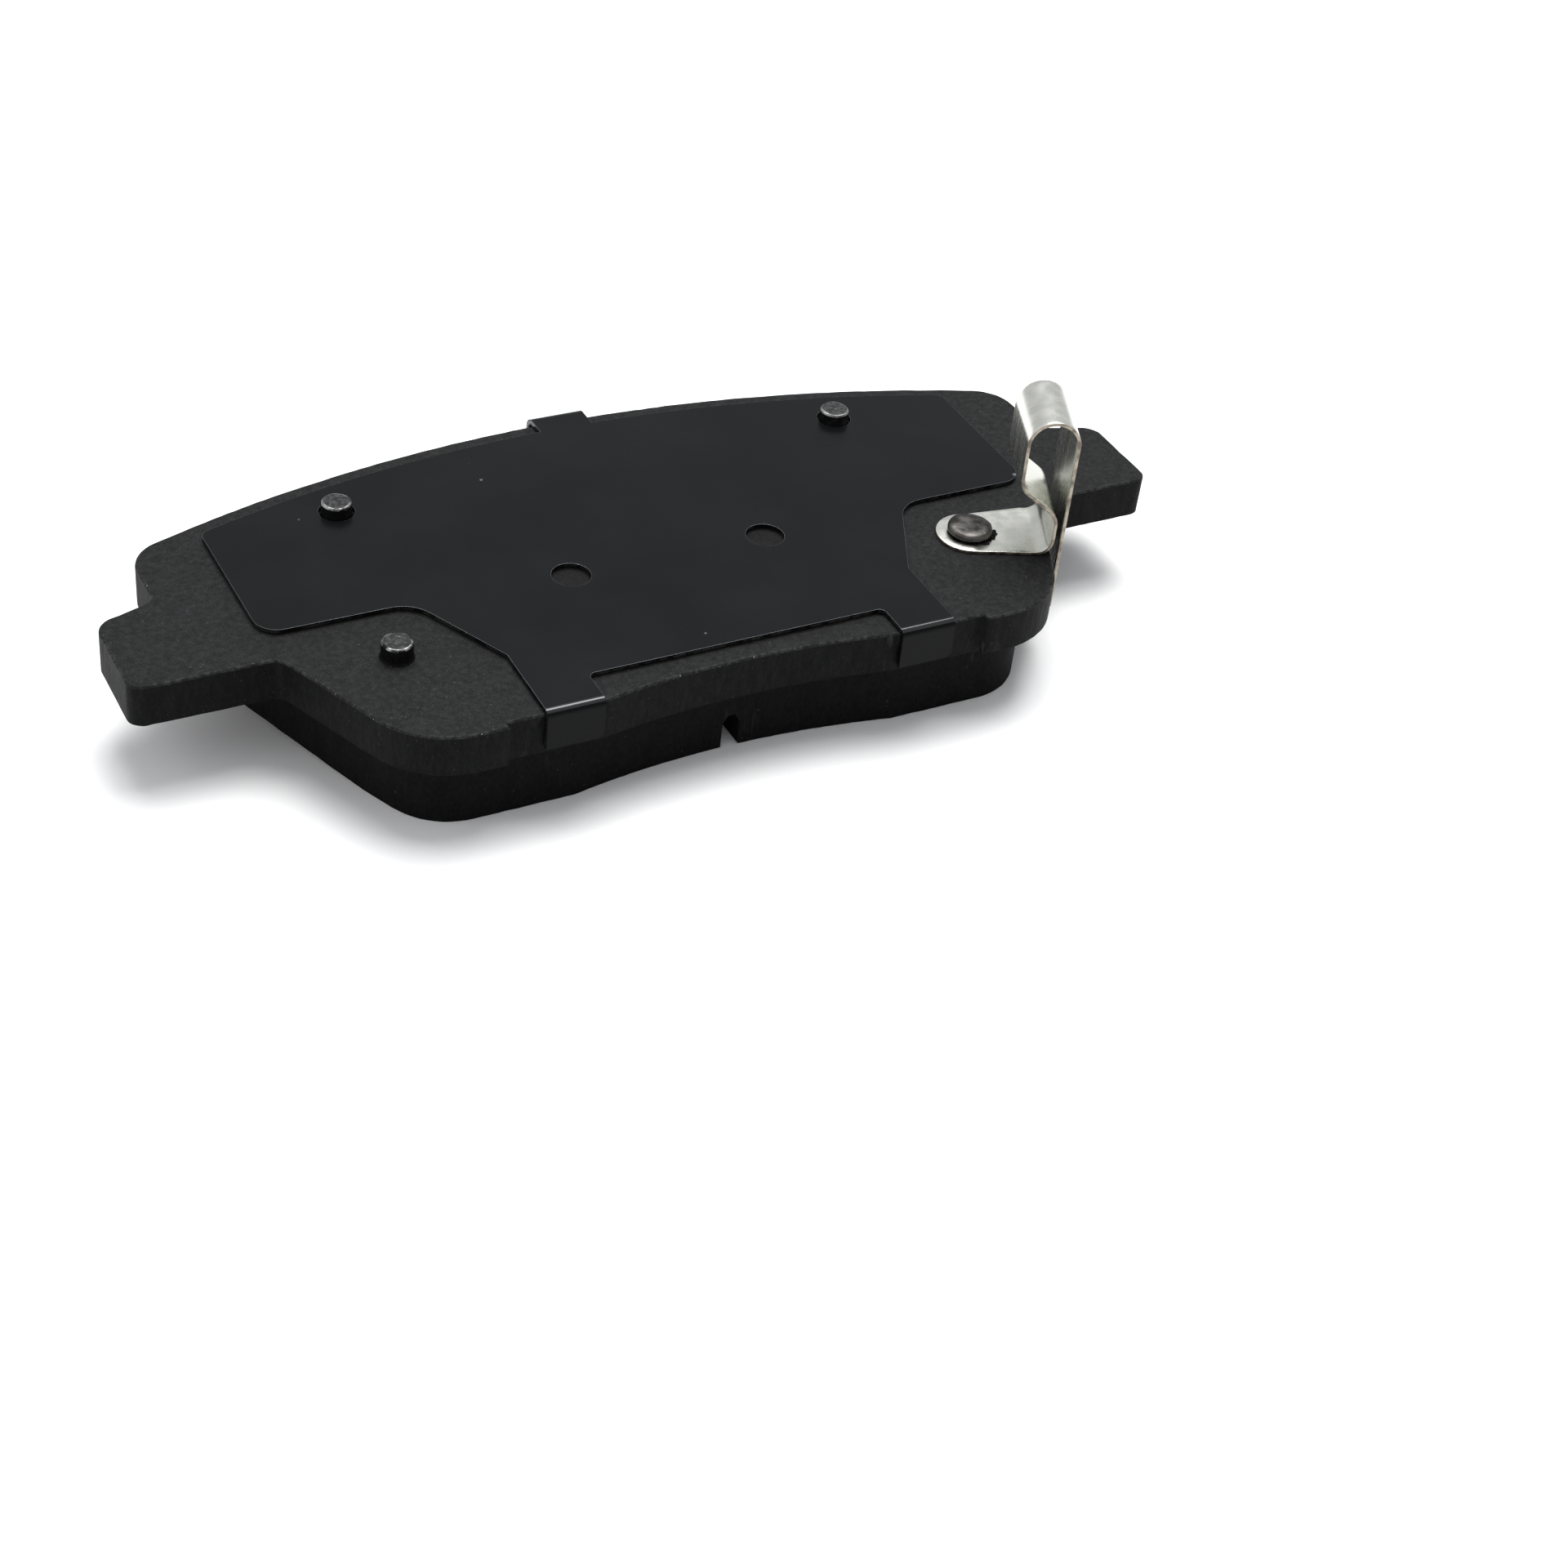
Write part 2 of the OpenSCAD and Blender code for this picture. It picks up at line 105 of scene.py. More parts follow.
# %% Camera
cam_azimuth, cam_elevation, cam_roll = (math.radians(a) for a in (-31.8226, 38.1716, 7.0684))
across = Vector((math.cos(cam_azimuth), math.sin(cam_azimuth), 0))
back = Vector((
    math.sin(cam_azimuth) * math.cos(cam_elevation),
    -math.cos(cam_azimuth) * math.cos(cam_elevation),
    math.sin(cam_elevation),
))
upward = back.cross(across)
cam_right = math.cos(cam_roll) * across + math.sin(cam_roll) * upward
cam_up = -math.sin(cam_roll) * across + math.cos(cam_roll) * upward

camera = bpy.data.objects.new("camera", bpy.data.cameras.new("camera"))
camera.data.lens = 63.39
camera.data.shift_x, camera.data.shift_y = 0.0005, -0.001
camera.data.clip_start, camera.data.clip_end = 0.01, 20
camera.matrix_world = (
    Matrix.Translation(Vector((-147.506, -279.909, 224.846)) * mm)
    @ Matrix((cam_right, cam_up, back)).transposed().to_4x4()
)
bpy.context.scene.collection.objects.link(camera)
bpy.context.scene.camera = camera
print("camera lens", camera.data.lens, "mm")

# %% [markdown]
# ## Floor
# The pad lies on a white table. One large square is enough, because its far edge is only seen from
# low views.

# %% Floor
white_table = bpy.data.materials.new("white_table")
white_table.use_nodes = True
table_shader = white_table.node_tree.nodes["Principled BSDF"]
table_shader.inputs["Base Color"].default_value = (0.9, 0.9, 0.9, 1)
table_shader.inputs["Roughness"].default_value = 0.6

floor_mesh = bmesh.new()
bmesh.ops.create_grid(floor_mesh, x_segments=1, y_segments=1, size=4)
floor_data = bpy.data.meshes.new("floor")
floor_mesh.to_mesh(floor_data)
floor_mesh.free()
floor_data.materials.append(white_table)
floor = bpy.data.objects.new("floor", floor_data)
bpy.context.scene.collection.objects.link(floor)
print("floor", tuple(round(s, 2) for s in floor.dimensions))

# %% [markdown]
# ## Light
# A pad is mostly black, so the light has to draw its edges. A pale sky fills the shadows, a wide
# softbox overhead whitens the table, and a second one from the left lights the end of the near ear.
# Small lamps could be as bright, but they would make hard, glittering spots on the spring steel, so
# both lamps are large squares.

# %% Sky and softboxes
sky_level = 0.62
bpy.context.scene.view_settings.view_transform = "Standard"
sky = bpy.data.worlds.new("pale_sky")
sky.use_nodes = True
sky.node_tree.nodes["Background"].inputs["Color"].default_value = (0.97, 0.98, 1, 1)
sky.node_tree.nodes["Background"].inputs["Strength"].default_value = sky_level
bpy.context.scene.world = sky


def softbox(name, at, aim, size, watts):
    lamp = bpy.data.lights.new(name, "AREA")
    lamp.shape = "SQUARE"
    lamp.size = size
    lamp.energy = watts
    box = bpy.data.objects.new(name, lamp)
    box.matrix_world = (
        Matrix.Translation(Vector(at))
        @ (Vector(aim) - Vector(at)).to_track_quat("-Z", "Y").to_matrix().to_4x4()
    )
    bpy.context.scene.collection.objects.link(box)


softbox("overhead_softbox", (0.22, 0.3, 1.25), (0, 0, 0), 0.85, 22)
softbox("left_softbox", (-1.6, 0.2, 0.9), (0, 0, 0), 1.8, 9)

# %% [markdown]
# ## A small kit for shader nodes
# A material is a tree of nodes. `wire` adds one node: a plain number is typed into a socket, and a
# socket from another node is linked to it. Patterns that several finishes share, such as the sandy
# grain of powder coat, become node groups: each is built once and then placed in every material with
# its own sizes.

# %% Node helpers
def wire(tree, kind, settings=None, **sockets):
    """Adds a node. A socket goes by its name, or by _ and its number."""
    made = tree.nodes.new(kind)
    for key, value in (settings or {}).items():
        setattr(made, key, value)
    for key, value in sockets.items():
        socket_key = int(key[1:]) if key[1:].isdigit() else key.replace("_", " ")
        target = made.inputs[socket_key]
        if isinstance(value, bpy.types.NodeSocket):
            tree.links.new(value, target)
        else:
            target.default_value = value
    return made


def math_node(tree, operation, a, b):
    return wire(tree, "ShaderNodeMath", {"operation": operation}, _0=a, _1=b).outputs[0]


def mixed(tree, share, a, b):
    node = wire(tree, "ShaderNodeMix", {"data_type": "RGBA"}, _0=share, _6=a, _7=b)
    return node.outputs[2]


def ramp(tree, value, low, high):
    """0 below low, 1 above high, and a soft step between."""
    settings = {"interpolation_type": "SMOOTHSTEP"}
    node = wire(tree, "ShaderNodeMapRange", settings, _0=value, _1=low, _2=high, _3=0.0, _4=1.0)
    return node.outputs[0]


def new_group(name, inputs, outputs):
    group = bpy.data.node_groups.new(name, "ShaderNodeTree")
    for label, kind, value in inputs:
        socket = group.interface.new_socket(label, in_out="INPUT", socket_type=kind)
        if value is not None:
            socket.default_value = value
    for label, kind in outputs:
        group.interface.new_socket(label, in_out="OUTPUT", socket_type=kind)
    return group, group.nodes.new("NodeGroupInput").outputs, group.nodes.new("NodeGroupOutput").inputs


def place(tree, group, **sockets):
    return wire(tree, "ShaderNodeGroup", {"node_tree": group}, **sockets).outputs


number, vector = "NodeSocketFloat", "NodeSocketVector"
print("node kit ready")

# %% [markdown]
# ### Grain
# Powder coat is dust melted onto steel, so it keeps a fine sandy relief. One noise texture could give
# it, but it would look too even. So two are added, one the size of a grain and one several grains
# wide. `Stretch` squashes the pattern along a direction, for the drawn lines of sheared or rolled steel.

# %% Group: grain
grain_group, given, out = new_group(
    "grain",
    [("Vector", vector, None), ("Grains per mm", number, 5.0), ("Stretch", vector, (1, 1, 1))],
    [("Height", number), ("Patch", number)],
)
stretched = wire(
    grain_group, "ShaderNodeVectorMath", {"operation": "MULTIPLY"}, _0=given[0], _1=given[2]
).outputs[0]
grain_scale = math_node(grain_group, "DIVIDE", given[1], mm)
fine = wire(grain_group, "ShaderNodeTexNoise", Vector=stretched, Scale=grain_scale, Detail=2.0).outputs[0]
wide_scale = math_node(grain_group, "MULTIPLY", grain_scale, 0.22)
wide = wire(grain_group, "ShaderNodeTexNoise", Vector=stretched, Scale=wide_scale, Detail=3.0).outputs[0]
grain_group.links.new(
    math_node(grain_group, "ADD", math_node(grain_group, "MULTIPLY", fine, 0.65),
              math_node(grain_group, "MULTIPLY", wide, 0.35)),
    out[0],
)
grain_group.links.new(wide, out[1])
print("group", grain_group.name)

# %% [markdown]
# ### Specks
# Dust, chipped grains and the chips in a friction material are separate small marks. A Voronoi
# texture cuts space into cells: each cell holds one speck, its random colour decides whether the
# speck is there and how large it is, and a little noise breaks its outline.

# %% Group: specks
speck_group, given, out = new_group(
    "specks",
    [("Vector", vector, None), ("Cells per mm", number, 1.0),
     ("Share", number, 0.2), ("Size", number, 0.35)],
    [("Mask", number), ("Tone", number)],
)
cell_scale = math_node(speck_group, "DIVIDE", given[1], mm)
edge_scale = math_node(speck_group, "MULTIPLY", cell_scale, 3.0)
rough_edge = wire(speck_group, "ShaderNodeTexNoise", Vector=given[0], Scale=edge_scale)
shake = wire(
    speck_group, "ShaderNodeVectorMath", {"operation": "SCALE"}, _0=rough_edge.outputs[1], Scale=0.35
).outputs[0]
cell_space = wire(
    speck_group, "ShaderNodeVectorMath", {"operation": "SCALE"}, _0=given[0], Scale=cell_scale
).outputs[0]
shaken = wire(speck_group, "ShaderNodeVectorMath", {"operation": "ADD"}, _0=cell_space, _1=shake).outputs[0]
cells = wire(speck_group, "ShaderNodeTexVoronoi", Vector=shaken, Scale=1.0)
chances = wire(speck_group, "ShaderNodeSeparateColor", Color=cells.outputs["Color"]).outputs
present = math_node(speck_group, "LESS_THAN", chances[0], given[2])
reach = math_node(speck_group, "MULTIPLY", given[3], math_node(speck_group, "ADD", chances[1], 0.4))
inside = math_node(speck_group, "MULTIPLY", math_node(speck_group, "SUBTRACT", reach, cells.outputs[0]), 12.0)
inside = math_node(speck_group, "MINIMUM", math_node(speck_group, "MAXIMUM", inside, 0.0), 1.0)
speck_group.links.new(math_node(speck_group, "MULTIPLY", inside, present), out[0])
speck_group.links.new(chances[2], out[1])
print("group", speck_group.name)

# %% [markdown]
# ### Scuffs
# Handling leaves pale rubbed patches on a dull black part. Soft noise says where they may be, and a
# finer, stretched noise breaks each patch into small strokes.

# %% Group: scuffs
scuff_group, given, out = new_group(
    "scuffs",
    [("Vector", vector, None), ("Patch mm", number, 9.0),
     ("Amount", number, 0.5), ("Stroke", vector, (1, 1, 1))],
    [("Mask", number)],
)
patch_scale = math_node(scuff_group, "DIVIDE", 1 / mm, given[1])
patches = wire(scuff_group, "ShaderNodeTexNoise", Vector=given[0], Scale=patch_scale, Detail=2.0).outputs[0]
strokes_at = wire(
    scuff_group, "ShaderNodeVectorMath", {"operation": "MULTIPLY"}, _0=given[0], _1=given[3]
).outputs[0]
strokes = wire(scuff_group, "ShaderNodeTexNoise", Vector=strokes_at, Scale=1.6 / mm, Detail=4.0).outputs[0]
threshold = math_node(scuff_group, "SUBTRACT", 0.78, math_node(scuff_group, "MULTIPLY", given[2], 0.3))
where = ramp(scuff_group, patches, threshold, math_node(scuff_group, "ADD", threshold, 0.16))
broken = math_node(scuff_group, "MULTIPLY", where, ramp(scuff_group, strokes, 0.45, 0.68))
scuff_group.links.new(broken, out[0])
print("group", scuff_group.name)

# %% [markdown]
# ## Finishes
# Each finish is one Principled shader with patterns wired into its colour, roughness and bump. They
# read the object's own coordinates, so a pattern has the same size on every piece and turns with it.
# The bump distance is the real height of the relief, a few hundredths of a millimetre.

# %% Start of a finish
def start_finish(name, roughness, metallic=0.0, specular=0.5):
    made = bpy.data.materials.new(name)
    made.use_nodes = True
    tree = made.node_tree
    shader = tree.nodes["Principled BSDF"]
    shader.inputs["Roughness"].default_value = roughness
    shader.inputs["Metallic"].default_value = metallic
    shader.inputs["Specular IOR Level"].default_value = specular
    return made, tree, shader, wire(tree, "ShaderNodeTexCoord").outputs["Object"]


def raise_relief(tree, shader, height, distance_mm):
    relief = wire(tree, "ShaderNodeBump", Height=height, Distance=distance_mm * mm, Strength=1.0)
    tree.links.new(relief.outputs[0], shader.inputs["Normal"])


def grey(level, warm=0.0):
    return (level * (1 + warm), level, level * (1 - warm), 1)


print("finish kit ready")

# %% [markdown]
# ### Powder coat
# The plate's coat is near black and dull, with a sandy relief and a few pale grains. Its sides were
# sheared when the plate was stamped, so their relief runs up and down, and they take a darker copy
# of the coat: painted shade, for the sides face the light less. Its edges are rubbed paler, because
# the coat is thin there and everything touches them first. On the edges and the pips' tops the pale
# grains are made bright: painted glints. One material could tell these apart by the slope, but
# separate ones are easier to tune, and the faces choose between them.

# %% Powder coat for the plate's face, sides and edges
def powder_coat(name, dark, pale, stretch, scuff_amount, wear, relief_mm, specular=0.1, grain_and_glint_tone=0.09):
    """Dark and pale are the coat's two greys, wear is how much of it is rubbed, and the last grey is that of
    its pale grains: dust on the face and sides, and on the edges and pip tops a painted glint.
    """
    made, tree, shader, place_of = start_finish(name, 0.62, specular=specular)
    grain = place(tree, grain_group, Vector=place_of, Grains_per_mm=6.5, Stretch=stretch)
    specks = place(tree, speck_group, Vector=place_of, Cells_per_mm=2.4, Share=0.1, Size=0.2)
    scuffs = place(tree, scuff_group, Vector=place_of, Patch_mm=7.0, Amount=scuff_amount, Stroke=(1, 1, 0.3))
    colour = mixed(tree, ramp(tree, grain[0], 0.38, 0.66), grey(dark, -0.03), grey(pale, -0.03))
    # Pale grains; on the edges and pip tops they are bright grey, painted glints.
    colour = mixed(tree, math_node(tree, "MULTIPLY", specks[0], 0.6), colour, grey(grain_and_glint_tone))
    colour = mixed(tree, math_node(tree, "MULTIPLY", scuffs[0], 0.45), colour, grey(0.06))
    rubbed = math_node(tree, "MULTIPLY", ramp(tree, grain[1], 0.42, 0.62), wear)
    colour = mixed(tree, rubbed, colour, grey(0.16))
    tree.links.new(colour, shader.inputs["Base Color"])
    tree.links.new(
        math_node(tree, "SUBTRACT", 0.7, math_node(tree, "MULTIPLY", grain[1], 0.22)),
        shader.inputs["Roughness"],
    )
    raise_relief(tree, shader, grain[0], relief_mm)
    return made


plate_face_coat = powder_coat("plate_face_coat", 0.005, 0.0185, (1, 1, 1), 0.15, 0.0, 0.08)
# The sides' coat is a darker copy of the face's coat: painted shade. Pips, rivet and crumbs use it too.
coat_with_painted_shade = powder_coat("coat_with_painted_shade", 0.0018, 0.0055, (1, 1, 0.25), 0.5, 0.0, 0.06, 0.07, 0.05)
# The edges and pip tops have bright grey grains: painted glints.
plate_edge_coat = powder_coat("plate_edge_coat", 0.005, 0.016, (1, 1, 1), 0.5, 0.08, 0.12, 0.12, 0.3)
pip_top_coat = powder_coat("pip_top_coat", 0.006, 0.03, (1, 1, 1), 0.7, 0.15, 0.05, 0.2, 0.3)
print("powder coats made")

# %% [markdown]
# ### Shim rubber
# The shim is steel sheet with a thin rubber film rolled onto both sides. The film is smooth and a
# little glossy, with faint rubbed clouds and a few specks of dust. Where a tab is bent, the film is
# stretched and shines. Below the bend it is duller and darker, and the darker colour is painted shade.
# The film's softened top edge is pale grey, a painted highlight for the thin bright line round it.

# %% Shim rubber
def shim_film(name, level, roughness, specular):
    made, tree, shader, place_of = start_finish(name, roughness, specular=specular)
    grain = place(tree, grain_group, Vector=place_of, Grains_per_mm=1.4)
    dust = place(tree, speck_group, Vector=place_of, Cells_per_mm=0.3, Share=0.16, Size=0.07)
    clouds = wire(tree, "ShaderNodeTexNoise", Vector=place_of, Scale=0.06 / mm, Detail=4.0).outputs[0]
    strokes = place(tree, scuff_group, Vector=place_of, Patch_mm=14.0, Amount=0.35, Stroke=(0.25, 1, 1))
    colour = mixed(tree, ramp(tree, clouds, 0.35, 0.7), grey(level, -0.1), grey(level * 1.3, -0.1))
    colour = mixed(tree, math_node(tree, "MULTIPLY", strokes[0], 0.1), colour, grey(0.04))
    colour = mixed(tree, math_node(tree, "MULTIPLY", dust[0], 0.6), colour, grey(0.3))
    tree.links.new(colour, shader.inputs["Base Color"])
    rough = math_node(tree, "ADD", roughness - 0.06, math_node(tree, "MULTIPLY", clouds, 0.14))
    tree.links.new(rough, shader.inputs["Roughness"])
    raise_relief(tree, shader, grain[0], 0.006)
    return made


shim_rubber = shim_film("shim_rubber", 0.003, 0.25, 0.115)
# A pale grey film for the softened top edge: a painted highlight.
painted_edge_highlight = shim_film("painted_edge_highlight", 0.11, 0.3, 0.8)
bend_film = shim_film("bend_film", 0.004, 0.14, 0.6)
# A darker film for the hanging faces: painted shade.
hanging_film_painted_shade = shim_film("hanging_film_painted_shade", 0.002, 0.25, 0.08)
print("films made:", shim_rubber.name, painted_edge_highlight.name, bend_film.name, hanging_film_painted_shade.name)

# %% [markdown]
# ### Bare steel
# Steel shows at the shim's cut edge, on the bright plated spring strip and its browner cut edges, on
# the struck rivet and on the rubbed rims of the pips. A metal's colour is its reflection, so one
# recipe serves them all. They differ in roughness and in the lines or blotches that break it up.

# %% Steels
def steel(name, dull, bright, roughness, stretch, relief_mm, grains_per_mm=3.0):
    made, tree, shader, place_of = start_finish(name, roughness, metallic=1.0)
    grain = place(tree, grain_group, Vector=place_of, Grains_per_mm=grains_per_mm, Stretch=stretch)
    tree.links.new(mixed(tree, ramp(tree, grain[1], 0.36, 0.62), dull, bright), shader.inputs["Base Color"])
    rough = math_node(tree, "ADD", roughness, math_node(tree, "MULTIPLY", grain[1], 0.16))
    tree.links.new(rough, shader.inputs["Roughness"])
    raise_relief(tree, shader, grain[0], relief_mm)
    return made


cut_steel = steel("cut_steel", grey(0.03), grey(0.12), 0.3, (1, 1, 0.2), 0.01)
spring_plating = steel(
    "spring_plating", (0.68, 0.69, 0.63, 1), (0.75, 0.75, 0.7, 1), 0.19, (1, 1, 0.15), 0.0008
)
strip_edge = steel("strip_edge", (0.14, 0.12, 0.1, 1), (0.36, 0.32, 0.26, 1), 0.34, (1, 1, 1), 0.01)
struck_steel = steel("struck_steel", grey(0.018, 0.06), grey(0.1, 0.06), 0.34, (1, 1, 1), 0.06, 1.6)
rubbed_steel = steel("rubbed_steel", grey(0.012), grey(0.3), 0.32, (1, 1, 1), 0.05, 3.2)
print("steels made")

# %% [markdown]
# ### Friction material
# The lining is a pressed mix of resin, fibres, metal and mineral grains. Its ground face shows that
# mix: a brown-grey base with tan, cream, rust and black chips up to a millimetre wide. The chips
# could be one noise cut into bands, but then they would never overlap. So each kind is a placing of
# the specks, laid over the last. A chamfer crosses each end, ground as well but sooty.

# %% Ground friction face
def friction_mix(name, soot):
    made, tree, shader, place_of = start_finish(name, 0.85, specular=0.2)
    ground = place(tree, grain_group, Vector=place_of, Grains_per_mm=3.0)
    colour = mixed(tree, ramp(tree, ground[0], 0.35, 0.65), (0.05, 0.041, 0.035, 1), (0.135, 0.113, 0.096, 1))
    colour = mixed(tree, ramp(tree, ground[1], 0.5, 0.66), colour, (0.1, 0.064, 0.046, 1))
    for cells_per_mm, share, size, tint in (
        (1.5, 0.22, 0.34, (0.02, 0.018, 0.017, 1)),
        (1.9, 0.14, 0.3, (0.3, 0.25, 0.19, 1)),
        (2.6, 0.1, 0.3, (0.2, 0.06, 0.035, 1)),
        (0.9, 0.1, 0.27, (0.62, 0.53, 0.4, 1)),
    ):
        chips = place(tree, speck_group, Vector=place_of, Cells_per_mm=cells_per_mm, Share=share, Size=size)
        colour = mixed(tree, math_node(tree, "MULTIPLY", chips[0], 0.9), colour, tint)
    sooty = math_node(tree, "MULTIPLY", ramp(tree, ground[1], 0.3, 0.6), soot)
    colour = mixed(tree, sooty, colour, grey(0.02))
    tree.links.new(colour, shader.inputs["Base Color"])
    raise_relief(tree, shader, ground[0], 0.12)
    return made


friction_face = friction_mix("friction_face", 0.0)
ground_end = friction_mix("ground_end", 0.75)
print("mixes made:", friction_face.name, ground_end.name)

# %% [markdown]
# ### Matt paint
# The lining's sides and the band of underlayer above them are painted black over a pitted, pressed
# surface. The powder coat could serve here too, but this paint is duller and blacker, with pits in
# place of grains, so it has a recipe of its own.

# %% Painted sides
def matt_paint(name, dark, pale, scuff_amount, specular=0.07):
    made, tree, shader, place_of = start_finish(name, 0.7, specular=specular)
    grain = place(tree, grain_group, Vector=place_of, Grains_per_mm=2.4, Stretch=(1, 1, 0.5))
    scuffs = place(tree, scuff_group, Vector=place_of, Patch_mm=8.0, Amount=scuff_amount, Stroke=(1, 1, 0.2))
    pits = place(tree, speck_group, Vector=place_of, Cells_per_mm=1.0, Share=0.08, Size=0.2)
    colour = mixed(tree, ramp(tree, grain[0], 0.35, 0.68), grey(dark), grey(pale))
    colour = mixed(tree, math_node(tree, "MULTIPLY", scuffs[0], 0.35), colour, grey(0.04))
    colour = mixed(tree, math_node(tree, "MULTIPLY", pits[0], 0.25), colour, grey(0.06, 0.05))
    tree.links.new(colour, shader.inputs["Base Color"])
    height = math_node(tree, "SUBTRACT", grain[0], math_node(tree, "MULTIPLY", pits[0], 0.4))
    raise_relief(tree, shader, height, 0.05)
    return made


lining_paint = matt_paint("lining_paint", 0.0018, 0.0045, 0.5)
underlayer_paint = matt_paint("underlayer_paint", 0.003, 0.008, 0.4, 0.12)
print("paints made")

# %% [markdown]
# ### Adhesive
# Two films of adhesive are seen only as thin lines from the side: a baked brown one under the plate
# and a tacky one under the shim. Both are a little cloudy.

# %% Adhesive films
def adhesive(name, dark, pale):
    made, tree, shader, place_of = start_finish(name, 0.5, specular=0.2)
    cloudy = place(tree, grain_group, Vector=place_of, Grains_per_mm=1.2)
    tree.links.new(mixed(tree, cloudy[0], dark, pale), shader.inputs["Base Color"])
    return made


adhesive_film = adhesive("adhesive_film", (0.012, 0.01, 0.008, 1), (0.03, 0.024, 0.018, 1))
print("film made:", adhesive_film.name)

# %% [markdown]
# ## Turning a mesh into a piece
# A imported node's mesh is loose triangles. A copy of it, with its doubles merged and its flat faces
# joined, is the stock that a detailed piece is cut from: the outline stays exact, and edges can be
# rounded. Real edges are never quite sharp, and it is the round that catches the light. `jolt` dents
# them with noise. Left alone, that noise starts from the clock, so it is given a fixed seed, and
# every run makes the same dents.

# %% Cutting and rounding
def merged_copy(node):
    """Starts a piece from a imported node's mesh, as a bmesh with whole flat faces."""
    bm = bmesh.new()
    bm.from_mesh(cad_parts[node].data)
    bm.faces.ensure_lookup_table()
    bmesh.ops.remove_doubles(bm, verts=bm.verts, dist=0.0005 * mm)
    join_flat_faces(bm)
    return bm


def join_flat_faces(bm):
    bmesh.ops.dissolve_limit(bm, angle_limit=math.radians(0.4), verts=bm.verts, edges=bm.edges)


def sharp_edges(bm, chosen=lambda edge: True, angle=40):
    limit = math.radians(angle)
    return [e for e in bm.edges if len(e.link_faces) == 2 and e.calc_face_angle() > limit and chosen(e)]


def round_edges(bm, edges, width_mm, segments):
    return bmesh.ops.bevel(
        bm, geom=edges, offset=width_mm * mm, offset_type="OFFSET", affect="EDGES",
        segments=segments, profile=0.5, material=-1, clamp_overlap=True,
    )["faces"]


def middle(edge):
    return (edge.verts[0].co + edge.verts[1].co) / 2


def split_edges(bm, chosen, step, halvings):
    """Halves the chosen sharp edges until few are longer than one and a half steps."""
    for halving in reversed(range(halvings)):
        long_edges = [e for e in sharp_edges(bm, chosen) if e.calc_length() > 2**halving * step * 1.5]
        if long_edges:
            bmesh.ops.subdivide_edges(bm, edges=long_edges, cuts=1, use_grid_fill=True)


noise.seed_set(5)


def jolt(at, waves_per_mm, size_mm):
    """A small random push that changes slowly from place to place."""
    return noise.noise_vector(at * (waves_per_mm / mm)) * size_mm * mm


def keep_inside(verts):
    """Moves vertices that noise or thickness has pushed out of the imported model's box back into it."""
    for v in verts:
        v.co = [min(max(c, low), high) for c, low, high in zip(v.co, *cad_box)]


print("cutting kit ready")

# %% [markdown]
# ### From mesh to piece
# A finished mesh becomes an object with its finishes, its smooth shading and its body. Weighted
# normals keep large flat faces looking flat beside their small rounds. The modifier could stay live,
# but it is turned into plain mesh, so that the mesh holds just what was made.

# %% Making a piece
def applied(piece):
    """Turns the piece's modifiers into plain mesh."""
    final = piece.evaluated_get(bpy.context.evaluated_depsgraph_get())
    mesh = bpy.data.meshes.new_from_object(final)
    piece.modifiers.clear()
    piece.data = mesh
    return piece


def make_piece(name, bm, finishes, body="pad", stands_for=(), sharp=38, weighted=True):
    mesh = bpy.data.meshes.new(name)
    bm.to_mesh(mesh)
    bm.free()
    for finish in finishes:
        mesh.materials.append(finish)
    mesh.polygons.foreach_set("use_smooth", [True] * len(mesh.polygons))
    mesh.set_sharp_from_angle(angle=math.radians(sharp))
    piece = bpy.data.objects.new(name, mesh)
    bpy.context.scene.collection.objects.link(piece)
    if weighted:
        even = piece.modifiers.new("even_shading", "WEIGHTED_NORMAL")
        even.keep_sharp = True
        applied(piece)
    if body:
        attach(piece, body)
    if stands_for:
        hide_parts(*stands_for)
    print("piece", name, "faces", len(piece.data.polygons))
    return piece


print("piece kit ready")

# %% [markdown]
# ## Backing plate
# The plate is stamped from 6 mm steel. Its outline could be drawn again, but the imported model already
# holds it exactly, so a copy of that is the stock. The stock's pips are cut off just under the face,
# because they are turned as pieces of their own, and the open top is filled again. The long edges are
# split into short ones, so that noise can move them later.

# %% Plate: cut the stock level and split its outline
plate = merged_copy("backing_plate")
cut_level = plate_top - 0.01 * mm
bmesh.ops.bisect_plane(
    plate, geom=plate.verts[:] + plate.edges[:] + plate.faces[:], dist=1e-7,
    plane_co=(0, 0, cut_level), plane_no=(0, 0, 1), clear_outer=True,
)
open_edges = [e for e in plate.edges if e.is_boundary]
bmesh.ops.triangle_fill(plate, use_beauty=True, edges=open_edges)
join_flat_faces(plate)


def near_any(at, places, reach):
    """Tells whether a point is within reach of a place. Places and reach are in millimetres."""
    return any((at.xy - Vector(p) * mm).length < reach * mm for p in places)


def on_outline(edge):
    """Picks the level edges of the outline, and none round a hole or under a pip."""
    a, b = edge.verts
    at = middle(edge)
    near_hole = near_any(at, lock_holes, lock_hole_r + 0.3)
    near_pip = near_any(at, [*pips.values(), rivet_place], pip_r + 0.5)
    return not near_hole and not near_pip and abs(a.co.z - b.co.z) < 1e-6


split_edges(plate, on_outline, step=0.9 * mm, halvings=5)
print("plate rim edges:", len(sharp_edges(plate, on_outline)))

# %% [markdown]
# ### The plate's edges
# The punch rolls the upper edge over and leaves the lower one crisper, and the powder coat makes both
# a little ragged. A bump map could hint at that, but it can't change the outline, so the rounds are
# real and their vertices are moved by noise. Each face then takes a finish by its slope: 0 for the
# face, 1 for the sides, whose darker coat is painted shade, and 2 for the rounds between them.

